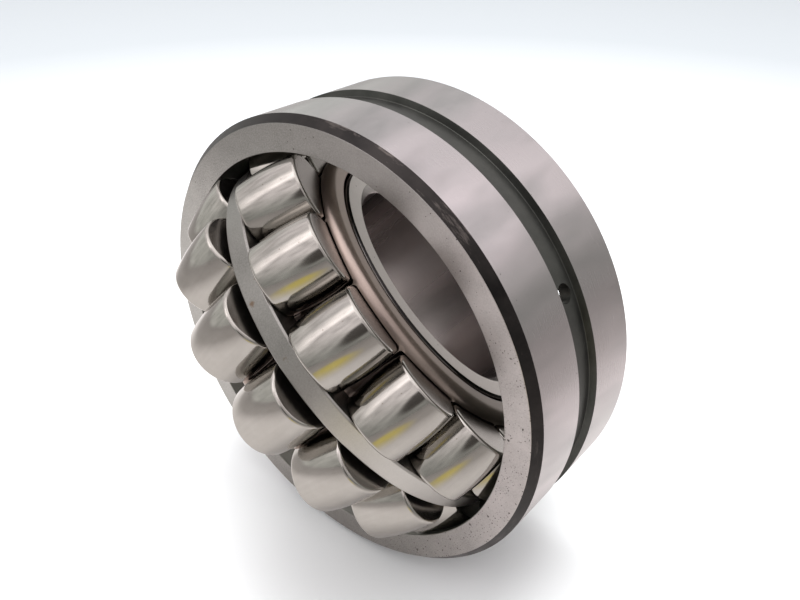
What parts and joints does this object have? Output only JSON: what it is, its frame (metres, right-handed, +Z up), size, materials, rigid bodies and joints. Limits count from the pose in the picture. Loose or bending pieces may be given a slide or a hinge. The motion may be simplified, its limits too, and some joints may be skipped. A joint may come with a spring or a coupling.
{
  "type": "spherical roller bearing",
  "caption": "Double-row self-aligning barrel-roller bearing with pressed cages, a loose guide ring and an oil groove, its inner half swivelled open.",
  "frame": {"origin": "centre of the raceway sphere, which is the middle of the outer ring's width on its axis", "axes": "+Y along the outer ring's axis, away from the side face that shows; +Z up, the ring standing on its rim"},
  "size_m": [0.16, 0.1454, 0.16],
  "materials": {
    "outer_ring_steel": "ground bearing steel, satin, with a dark oxide groove",
    "inner_ring_steel": "fine-ground bearing steel",
    "roller_steel": "mirror-polished bearing steel, satin at the ends",
    "cage_steel": "pressed steel, phosphated, satin brown-grey",
    "guide_ring_iron": "turned cast iron, satin, with a few stains"
  },
  "bodies": {
    "outer_ring": {"outer_ring": "outer_ring_steel"},
    "guide_ring": {"guide_ring": "guide_ring_iron"},
    "inner_ring": {"inner_ring": "inner_ring_steel"},
    "front_cage": {"front_cage": "cage_steel"},
    "back_cage": {"back_cage": "cage_steel"},
    "front_roller_01": {"front_roller_01": "roller_steel"},
    "front_roller_02": {"front_roller_02": "roller_steel"},
    "front_roller_03": {"front_roller_03": "roller_steel"},
    "front_roller_04": {"front_roller_04": "roller_steel"},
    "front_roller_05": {"front_roller_05": "roller_steel"},
    "front_roller_06": {"front_roller_06": "roller_steel"},
    "front_roller_07": {"front_roller_07": "roller_steel"},
    "front_roller_08": {"front_roller_08": "roller_steel"},
    "front_roller_09": {"front_roller_09": "roller_steel"},
    "front_roller_10": {"front_roller_10": "roller_steel"},
    "front_roller_11": {"front_roller_11": "roller_steel"},
    "front_roller_12": {"front_roller_12": "roller_steel"},
    "front_roller_13": {"front_roller_13": "roller_steel"},
    "front_roller_14": {"front_roller_14": "roller_steel"},
    "front_roller_15": {"front_roller_15": "roller_steel"},
    "back_roller_01": {"back_roller_01": "roller_steel"},
    "back_roller_02": {"back_roller_02": "roller_steel"},
    "back_roller_03": {"back_roller_03": "roller_steel"},
    "back_roller_04": {"back_roller_04": "roller_steel"},
    "back_roller_05": {"back_roller_05": "roller_steel"},
    "back_roller_06": {"back_roller_06": "roller_steel"},
    "back_roller_07": {"back_roller_07": "roller_steel"},
    "back_roller_08": {"back_roller_08": "roller_steel"},
    "back_roller_09": {"back_roller_09": "roller_steel"},
    "back_roller_10": {"back_roller_10": "roller_steel"},
    "back_roller_11": {"back_roller_11": "roller_steel"},
    "back_roller_12": {"back_roller_12": "roller_steel"},
    "back_roller_13": {"back_roller_13": "roller_steel"},
    "back_roller_14": {"back_roller_14": "roller_steel"},
    "back_roller_15": {"back_roller_15": "roller_steel"}
  },
  "joints": [
    {"name": "self_align", "type": "hinge", "parent": "outer_ring", "child": "guide_ring", "pos_m": [0, 0, 0], "axis": [0.7431, 0, -0.6691], "range_deg": [-153, 27]},
    {"name": "inner_ring_spin", "type": "hinge", "parent": "guide_ring", "child": "inner_ring", "pos_m": [0, 0, 0], "axis": [0.5962, 0.454, 0.6621], "continuous": true},
    {"name": "front_cage_spin", "type": "hinge", "parent": "guide_ring", "child": "front_cage", "pos_m": [0, 0, 0], "axis": [0.5962, 0.454, 0.6621], "continuous": true},
    {"name": "back_cage_spin", "type": "hinge", "parent": "guide_ring", "child": "back_cage", "pos_m": [0, 0, 0], "axis": [0.5962, 0.454, 0.6621], "continuous": true},
    {"name": "front_roller_01_spin", "type": "hinge", "parent": "front_cage", "child": "front_roller_01", "pos_m": [0.04364, -0.04247, 0.01083], "axis": [0.449, 0.6244, 0.6391], "continuous": true},
    {"name": "front_roller_02_spin", "type": "hinge", "parent": "front_cage", "child": "front_roller_02", "pos_m": [0.05402, -0.02912, -0.00766], "axis": [0.4102, 0.5746, 0.7082], "continuous": true},
    {"name": "front_roller_03_spin", "type": "hinge", "parent": "front_cage", "child": "front_roller_03", "pos_m": [0.0565, -0.00965, -0.02324], "axis": [0.401, 0.502, 0.7663], "continuous": true},
    {"name": "front_roller_04_spin", "type": "hinge", "parent": "front_cage", "child": "front_roller_04", "pos_m": [0.05064, 0.01258, -0.03321], "axis": [0.4229, 0.419, 0.8035], "continuous": true},
    {"name": "front_roller_05_spin", "type": "hinge", "parent": "front_cage", "child": "front_roller_05", "pos_m": [0.03746, 0.03373, -0.03584], "axis": [0.4721, 0.34, 0.8133], "continuous": true},
    {"name": "front_roller_06_spin", "type": "hinge", "parent": "front_cage", "child": "front_roller_06", "pos_m": [0.01923, 0.05014, -0.03068], "axis": [0.5401, 0.2788, 0.7941], "continuous": true},
    {"name": "front_roller_07_spin", "type": "hinge", "parent": "front_cage", "child": "front_roller_07", "pos_m": [-0.00088, 0.05897, -0.01863], "axis": [0.6152, 0.2458, 0.7491], "continuous": true},
    {"name": "front_roller_08_spin", "type": "hinge", "parent": "front_cage", "child": "front_roller_08", "pos_m": [-0.01941, 0.0587, -0.00176], "axis": [0.6843, 0.2468, 0.6861], "continuous": true},
    {"name": "front_roller_09_spin", "type": "hinge", "parent": "front_cage", "child": "front_roller_09", "pos_m": [-0.03315, 0.04937, 0.01701], "axis": [0.7356, 0.2817, 0.6161], "continuous": true},
    {"name": "front_roller_10_spin", "type": "hinge", "parent": "front_cage", "child": "front_roller_10", "pos_m": [-0.03972, 0.03259, 0.03443], "axis": [0.7601, 0.3443, 0.5511], "continuous": true},
    {"name": "front_roller_11_spin", "type": "hinge", "parent": "front_cage", "child": "front_roller_11", "pos_m": [-0.03799, 0.01128, 0.04749], "axis": [0.7537, 0.4238, 0.5023], "continuous": true},
    {"name": "front_roller_12_spin", "type": "hinge", "parent": "front_cage", "child": "front_roller_12", "pos_m": [-0.02826, -0.0109, 0.05393], "axis": [0.7174, 0.5066, 0.4783], "continuous": true},
    {"name": "front_roller_13_spin", "type": "hinge", "parent": "front_cage", "child": "front_roller_13", "pos_m": [-0.0122, -0.0301, 0.05264], "axis": [0.6574, 0.5783, 0.4831], "continuous": true},
    {"name": "front_roller_14_spin", "type": "hinge", "parent": "front_cage", "child": "front_roller_14", "pos_m": [0.00739, -0.043, 0.04384], "axis": [0.5843, 0.6264, 0.5159], "continuous": true},
    {"name": "front_roller_15_spin", "type": "hinge", "parent": "front_cage", "child": "front_roller_15", "pos_m": [0.02715, -0.04738, 0.02905], "axis": [0.5105, 0.6428, 0.5711], "continuous": true},
    {"name": "back_roller_01_spin", "type": "hinge", "parent": "back_cage", "child": "back_roller_01", "pos_m": [0.02985, -0.05291, -0.01161], "axis": [0.7233, 0.2684, 0.6362], "continuous": true},
    {"name": "back_roller_02_spin", "type": "hinge", "parent": "back_cage", "child": "back_roller_02", "pos_m": [0.03866, -0.03803, -0.02974], "axis": [0.7562, 0.324, 0.5685], "continuous": true},
    {"name": "back_roller_03_spin", "type": "hinge", "parent": "back_cage", "child": "back_roller_03", "pos_m": [0.03935, -0.01766, -0.04433], "axis": [0.7588, 0.4, 0.5141], "continuous": true},
    {"name": "back_roller_04_spin", "type": "hinge", "parent": "back_cage", "child": "back_roller_04", "pos_m": [0.0318, 0.00466, -0.05284], "axis": [0.7306, 0.4833, 0.4823], "continuous": true},
    {"name": "back_roller_05_spin", "type": "hinge", "parent": "back_cage", "child": "back_roller_05", "pos_m": [0.01732, 0.02509, -0.05381], "axis": [0.6765, 0.5596, 0.4787], "continuous": true},
    {"name": "back_roller_06_spin", "type": "hinge", "parent": "back_cage", "child": "back_roller_06", "pos_m": [-0.00159, 0.04009, -0.04707], "axis": [0.6059, 0.6156, 0.5039], "continuous": true},
    {"name": "back_roller_07_spin", "type": "hinge", "parent": "back_cage", "child": "back_roller_07", "pos_m": [-0.02166, 0.04707, -0.03378], "axis": [0.531, 0.6416, 0.5535], "continuous": true},
    {"name": "back_roller_08_spin", "type": "hinge", "parent": "back_cage", "child": "back_roller_08", "pos_m": [-0.03942, 0.04481, -0.01624], "axis": [0.4648, 0.6332, 0.6189], "continuous": true},
    {"name": "back_roller_09_spin", "type": "hinge", "parent": "back_cage", "child": "back_roller_09", "pos_m": [-0.05179, 0.03371, 0.00251], "axis": [0.4186, 0.5918, 0.6889], "continuous": true},
    {"name": "back_roller_10_spin", "type": "hinge", "parent": "back_cage", "child": "back_roller_10", "pos_m": [-0.05665, 0.01569, 0.01923], "axis": [0.4004, 0.5245, 0.7514], "continuous": true},
    {"name": "back_roller_11_spin", "type": "hinge", "parent": "back_cage", "child": "back_roller_11", "pos_m": [-0.05314, -0.00613, 0.03104], "axis": [0.4135, 0.4431, 0.7954], "continuous": true},
    {"name": "back_roller_12_spin", "type": "hinge", "parent": "back_cage", "child": "back_roller_12", "pos_m": [-0.04188, -0.02799, 0.03589], "axis": [0.4555, 0.3615, 0.8135], "continuous": true},
    {"name": "back_roller_13_spin", "type": "hinge", "parent": "back_cage", "child": "back_roller_13", "pos_m": [-0.02482, -0.04609, 0.03294], "axis": [0.5193, 0.2939, 0.8025], "continuous": true},
    {"name": "back_roller_14_spin", "type": "hinge", "parent": "back_cage", "child": "back_roller_14", "pos_m": [-0.00489, -0.05733, 0.0227], "axis": [0.5936, 0.2519, 0.7643], "continuous": true},
    {"name": "back_roller_15_spin", "type": "hinge", "parent": "back_cage", "child": "back_roller_15", "pos_m": [0.01444, -0.05974, 0.00694], "axis": [0.6658, 0.2429, 0.7055], "continuous": true}
  ],
  "couplings": [
    {"joint": "front_cage_spin", "follows": "inner_ring_spin", "ratio": 0.40238},
    {"joint": "back_cage_spin", "follows": "inner_ring_spin", "ratio": 0.40238},
    {"joint": "front_roller_01_spin", "follows": "inner_ring_spin", "ratio": -2.4003},
    {"joint": "front_roller_02_spin", "follows": "inner_ring_spin", "ratio": -2.4003},
    {"joint": "front_roller_03_spin", "follows": "inner_ring_spin", "ratio": -2.4003},
    {"joint": "front_roller_04_spin", "follows": "inner_ring_spin", "ratio": -2.4003},
    {"joint": "front_roller_05_spin", "follows": "inner_ring_spin", "ratio": -2.4003},
    {"joint": "front_roller_06_spin", "follows": "inner_ring_spin", "ratio": -2.4003},
    {"joint": "front_roller_07_spin", "follows": "inner_ring_spin", "ratio": -2.4003},
    {"joint": "front_roller_08_spin", "follows": "inner_ring_spin", "ratio": -2.4003},
    {"joint": "front_roller_09_spin", "follows": "inner_ring_spin", "ratio": -2.4003},
    {"joint": "front_roller_10_spin", "follows": "inner_ring_spin", "ratio": -2.4003},
    {"joint": "front_roller_11_spin", "follows": "inner_ring_spin", "ratio": -2.4003},
    {"joint": "front_roller_12_spin", "follows": "inner_ring_spin", "ratio": -2.4003},
    {"joint": "front_roller_13_spin", "follows": "inner_ring_spin", "ratio": -2.4003},
    {"joint": "front_roller_14_spin", "follows": "inner_ring_spin", "ratio": -2.4003},
    {"joint": "front_roller_15_spin", "follows": "inner_ring_spin", "ratio": -2.4003},
    {"joint": "back_roller_01_spin", "follows": "inner_ring_spin", "ratio": -2.4003},
    {"joint": "back_roller_02_spin", "follows": "inner_ring_spin", "ratio": -2.4003},
    {"joint": "back_roller_03_spin", "follows": "inner_ring_spin", "ratio": -2.4003},
    {"joint": "back_roller_04_spin", "follows": "inner_ring_spin", "ratio": -2.4003},
    {"joint": "back_roller_05_spin", "follows": "inner_ring_spin", "ratio": -2.4003},
    {"joint": "back_roller_06_spin", "follows": "inner_ring_spin", "ratio": -2.4003},
    {"joint": "back_roller_07_spin", "follows": "inner_ring_spin", "ratio": -2.4003},
    {"joint": "back_roller_08_spin", "follows": "inner_ring_spin", "ratio": -2.4003},
    {"joint": "back_roller_09_spin", "follows": "inner_ring_spin", "ratio": -2.4003},
    {"joint": "back_roller_10_spin", "follows": "inner_ring_spin", "ratio": -2.4003},
    {"joint": "back_roller_11_spin", "follows": "inner_ring_spin", "ratio": -2.4003},
    {"joint": "back_roller_12_spin", "follows": "inner_ring_spin", "ratio": -2.4003},
    {"joint": "back_roller_13_spin", "follows": "inner_ring_spin", "ratio": -2.4003},
    {"joint": "back_roller_14_spin", "follows": "inner_ring_spin", "ratio": -2.4003},
    {"joint": "back_roller_15_spin", "follows": "inner_ring_spin", "ratio": -2.4003}
  ]
}
